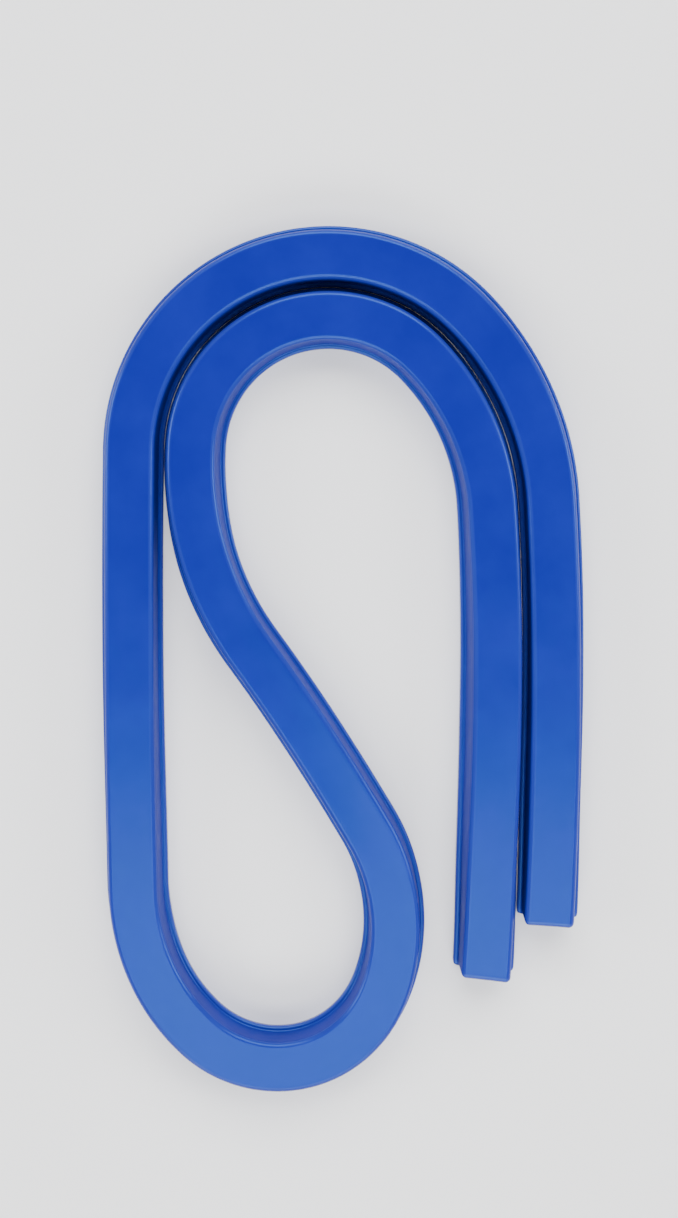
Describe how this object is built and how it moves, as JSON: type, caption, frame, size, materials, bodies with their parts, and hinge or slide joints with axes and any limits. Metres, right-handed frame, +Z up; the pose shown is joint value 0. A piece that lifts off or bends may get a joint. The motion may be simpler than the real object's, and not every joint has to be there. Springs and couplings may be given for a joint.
{
  "type": "flexible curve ruler",
  "caption": "Bendable drafting ruler: a flanged blue PVC sheath over a lead core and steel strips, bent into a doubled-back coil; it is shaped by hand to draw smooth curves.",
  "frame": {"origin": "centre of the coil's footprint, on the surface that it lies on", "axes": "+Z up, square to the drawing surface; +Y along the coil's length, from its open ends towards the outer arch; +X across it, towards the outer end"},
  "size_m": [0.0858, 0.1502, 0.0084],
  "materials": {
    "sheath_pvc": "soft semi-gloss extruded PVC, bright royal blue, faint mottling and die lines",
    "plug_pvc": "semi-gloss PVC, slightly darker than the sheath",
    "core_lead": "dull grey extruded lead with draw lines",
    "strip_steel": "bright rolled spring steel"
  },
  "bodies": {
    "outer_leg": {"sheath_outer_leg": "sheath_pvc", "lead_core_outer_leg": "core_lead", "end_plug_outer": "plug_pvc"},
    "arch_right_1": {"sheath_arch_right_1": "sheath_pvc", "lead_core_arch_right_1": "core_lead"},
    "arch_right_2": {"sheath_arch_right_2": "sheath_pvc", "lead_core_arch_right_2": "core_lead"},
    "arch_right_3": {"sheath_arch_right_3": "sheath_pvc", "lead_core_arch_right_3": "core_lead"},
    "arch_top_1": {"sheath_arch_top_1": "sheath_pvc", "lead_core_arch_top_1": "core_lead"},
    "arch_top_2": {"sheath_arch_top_2": "sheath_pvc", "lead_core_arch_top_2": "core_lead"},
    "arch_top_3": {"sheath_arch_top_3": "sheath_pvc", "lead_core_arch_top_3": "core_lead"},
    "arch_left_1": {"sheath_arch_left_1": "sheath_pvc", "lead_core_arch_left_1": "core_lead"},
    "arch_left_2": {"sheath_arch_left_2": "sheath_pvc", "lead_core_arch_left_2": "core_lead"},
    "arch_left_3": {"sheath_arch_left_3": "sheath_pvc", "lead_core_arch_left_3": "core_lead"},
    "arch_left_4": {"sheath_arch_left_4": "sheath_pvc", "lead_core_arch_left_4": "core_lead"},
    "left_leg": {"sheath_left_leg": "sheath_pvc", "lead_core_left_leg": "core_lead", "steel_strip_left": "strip_steel", "steel_strip_right": "strip_steel"},
    "loop_in": {"sheath_loop_in": "sheath_pvc", "lead_core_loop_in": "core_lead"},
    "loop_base_1": {"sheath_loop_base_1": "sheath_pvc", "lead_core_loop_base_1": "core_lead"},
    "loop_base_2": {"sheath_loop_base_2": "sheath_pvc", "lead_core_loop_base_2": "core_lead"},
    "loop_base_3": {"sheath_loop_base_3": "sheath_pvc", "lead_core_loop_base_3": "core_lead"},
    "loop_out": {"sheath_loop_out": "sheath_pvc", "lead_core_loop_out": "core_lead"},
    "diagonal": {"sheath_diagonal": "sheath_pvc", "lead_core_diagonal": "core_lead"},
    "crook_in_1": {"sheath_crook_in_1": "sheath_pvc", "lead_core_crook_in_1": "core_lead"},
    "crook_in_2": {"sheath_crook_in_2": "sheath_pvc", "lead_core_crook_in_2": "core_lead"},
    "crook_top_1": {"sheath_crook_top_1": "sheath_pvc", "lead_core_crook_top_1": "core_lead"},
    "crook_top_2": {"sheath_crook_top_2": "sheath_pvc", "lead_core_crook_top_2": "core_lead"},
    "crook_top_3": {"sheath_crook_top_3": "sheath_pvc", "lead_core_crook_top_3": "core_lead"},
    "crook_top_4": {"sheath_crook_top_4": "sheath_pvc", "lead_core_crook_top_4": "core_lead"},
    "crook_top_5": {"sheath_crook_top_5": "sheath_pvc", "lead_core_crook_top_5": "core_lead"},
    "crook_out_1": {"sheath_crook_out_1": "sheath_pvc", "lead_core_crook_out_1": "core_lead"},
    "crook_out_2": {"sheath_crook_out_2": "sheath_pvc", "lead_core_crook_out_2": "core_lead"},
    "inner_leg": {"sheath_inner_leg": "sheath_pvc", "lead_core_inner_leg": "core_lead", "end_plug_inner": "plug_pvc"}
  },
  "joints": [
    {"name": "arm_swing", "type": "hinge", "parent": "arch_right_1", "child": "outer_leg", "pos_m": [0.03624, 0.02703, 0], "axis": [0, 0, 1], "range_deg": [0, 13.68]},
    {"name": "bend_02", "type": "hinge", "parent": "arch_right_2", "child": "arch_right_1", "pos_m": [0.03392, 0.03911, 0], "axis": [0, 0, 1], "range_deg": [0, 19.37]},
    {"name": "bend_03", "type": "hinge", "parent": "arch_right_3", "child": "arch_right_2", "pos_m": [0.02876, 0.05028, 0], "axis": [0, 0, 1], "range_deg": [0, 19.37]},
    {"name": "bend_04", "type": "hinge", "parent": "arch_top_1", "child": "arch_right_3", "pos_m": [0.02109, 0.0599, 0], "axis": [0, 0, 1], "range_deg": [0, 24.31]},
    {"name": "bend_05", "type": "hinge", "parent": "arch_top_2", "child": "arch_top_1", "pos_m": [0.01155, 0.06652, 0], "axis": [0, 0, 1], "range_deg": [0, 29.25]},
    {"name": "bend_06", "type": "hinge", "parent": "arch_top_3", "child": "arch_top_2", "pos_m": [0.00035, 0.06957, 0], "axis": [0, 0, 1], "range_deg": [0, 29.25]},
    {"name": "bend_07", "type": "hinge", "parent": "arch_left_1", "child": "arch_top_3", "pos_m": [-0.01123, 0.06871, 0], "axis": [0, 0, 1], "range_deg": [0, 28.69]},
    {"name": "bend_08", "type": "hinge", "parent": "arch_left_2", "child": "arch_left_1", "pos_m": [-0.02151, 0.06427, 0], "axis": [0, 0, 1], "range_deg": [0, 28.13]},
    {"name": "bend_09", "type": "hinge", "parent": "arch_left_3", "child": "arch_left_2", "pos_m": [-0.02982, 0.05676, 0], "axis": [0, 0, 1], "range_deg": [0, 28.13]},
    {"name": "bend_10", "type": "hinge", "parent": "arch_left_4", "child": "arch_left_3", "pos_m": [-0.03527, 0.04697, 0], "axis": [0, 0, 1], "range_deg": [0, 28.13]},
    {"name": "bend_11", "type": "hinge", "parent": "left_leg", "child": "arch_left_4", "pos_m": [-0.03728, 0.03596, 0], "axis": [0, 0, 1], "range_deg": [0, 14.06]},
    {"name": "bend_12", "type": "hinge", "parent": "left_leg", "child": "loop_in", "pos_m": [-0.03662, -0.04003, 0], "axis": [0, 0, 1], "range_deg": [-5.81, 0]},
    {"name": "bend_13", "type": "hinge", "parent": "loop_in", "child": "loop_base_1", "pos_m": [-0.025, -0.06467, 0], "axis": [0, 0, 1], "range_deg": [-10.31, 0]},
    {"name": "bend_14", "type": "hinge", "parent": "loop_base_1", "child": "loop_base_2", "pos_m": [-0.01358, -0.06964, 0], "axis": [0, 0, 1], "range_deg": [-9, 0]},
    {"name": "bend_15", "type": "hinge", "parent": "loop_base_2", "child": "loop_base_3", "pos_m": [-0.00141, -0.06694, 0], "axis": [0, 0, 1], "range_deg": [-9, 0]},
    {"name": "bend_16", "type": "hinge", "parent": "loop_base_3", "child": "loop_out", "pos_m": [0.00684, -0.05761, 0], "axis": [0, 0, 1], "range_deg": [-11.25, 0]},
    {"name": "bend_17", "type": "hinge", "parent": "loop_out", "child": "diagonal", "pos_m": [0.00514, -0.02972, 0], "axis": [0, 0, 1], "range_deg": [-7.5, 0]},
    {"name": "bend_18", "type": "hinge", "parent": "diagonal", "child": "crook_in_1", "pos_m": [-0.01555, 0.00154, 0], "axis": [0, 0, 1], "range_deg": [0, 6.25]},
    {"name": "bend_19", "type": "hinge", "parent": "crook_in_1", "child": "crook_in_2", "pos_m": [-0.02387, 0.01823, 0], "axis": [0, 0, 1], "range_deg": [0, 14]},
    {"name": "bend_20", "type": "hinge", "parent": "crook_in_2", "child": "crook_top_1", "pos_m": [-0.02599, 0.03677, 0], "axis": [0, 0, 1], "range_deg": [0, 16.21]},
    {"name": "bend_21", "type": "hinge", "parent": "crook_top_1", "child": "crook_top_2", "pos_m": [-0.02298, 0.04683, 0], "axis": [0, 0, 1], "range_deg": [0, 18.41]},
    {"name": "bend_22", "type": "hinge", "parent": "crook_top_2", "child": "crook_top_3", "pos_m": [-0.01582, 0.05452, 0], "axis": [0, 0, 1], "range_deg": [0, 18.41]},
    {"name": "bend_23", "type": "hinge", "parent": "crook_top_3", "child": "crook_top_4", "pos_m": [-0.00599, 0.05825, 0], "axis": [0, 0, 1], "range_deg": [0, 18.41]},
    {"name": "bend_24", "type": "hinge", "parent": "crook_top_4", "child": "crook_top_5", "pos_m": [0.00447, 0.05723, 0], "axis": [0, 0, 1], "range_deg": [0, 18.41]},
    {"name": "bend_25", "type": "hinge", "parent": "crook_top_5", "child": "crook_out_1", "pos_m": [0.01339, 0.05168, 0], "axis": [0, 0, 1], "range_deg": [0, 16.38]},
    {"name": "bend_26", "type": "hinge", "parent": "crook_out_1", "child": "crook_out_2", "pos_m": [0.02161, 0.03983, 0], "axis": [0, 0, 1], "range_deg": [0, 14.35]},
    {"name": "unroll", "type": "hinge", "parent": "crook_out_2", "child": "inner_leg", "pos_m": [0.02516, 0.02585, 0], "axis": [0, 0, 1], "range_deg": [0, 10.85], "deforming": ["steel_strip_left", "steel_strip_right"]}
  ],
  "couplings": [
    {"joint": "bend_02", "follows": "arm_swing", "ratio": 1.4153},
    {"joint": "bend_03", "follows": "arm_swing", "ratio": 1.4153},
    {"joint": "bend_04", "follows": "arm_swing", "ratio": 1.7765},
    {"joint": "bend_05", "follows": "unroll", "ratio": 2.6959},
    {"joint": "bend_06", "follows": "unroll", "ratio": 2.6959},
    {"joint": "bend_07", "follows": "unroll", "ratio": 2.644},
    {"joint": "bend_08", "follows": "unroll", "ratio": 2.5922},
    {"joint": "bend_09", "follows": "unroll", "ratio": 2.5922},
    {"joint": "bend_10", "follows": "unroll", "ratio": 2.5922},
    {"joint": "bend_11", "follows": "unroll", "ratio": 1.2961},
    {"joint": "bend_12", "follows": "unroll", "ratio": -0.53571},
    {"joint": "bend_13", "follows": "unroll", "ratio": -0.95046},
    {"joint": "bend_14", "follows": "unroll", "ratio": -0.82949},
    {"joint": "bend_15", "follows": "unroll", "ratio": -0.82949},
    {"joint": "bend_16", "follows": "unroll", "ratio": -1.0369},
    {"joint": "bend_17", "follows": "unroll", "ratio": -0.69124},
    {"joint": "bend_18", "follows": "unroll", "ratio": 0.57604},
    {"joint": "bend_19", "follows": "unroll", "ratio": 1.2903},
    {"joint": "bend_20", "follows": "unroll", "ratio": 1.4935},
    {"joint": "bend_21", "follows": "unroll", "ratio": 1.6968},
    {"joint": "bend_22", "follows": "unroll", "ratio": 1.6968},
    {"joint": "bend_23", "follows": "unroll", "ratio": 1.6968},
    {"joint": "bend_24", "follows": "unroll", "ratio": 1.6968},
    {"joint": "bend_25", "follows": "unroll", "ratio": 1.5097},
    {"joint": "bend_26", "follows": "unroll", "ratio": 1.3226}
  ]
}
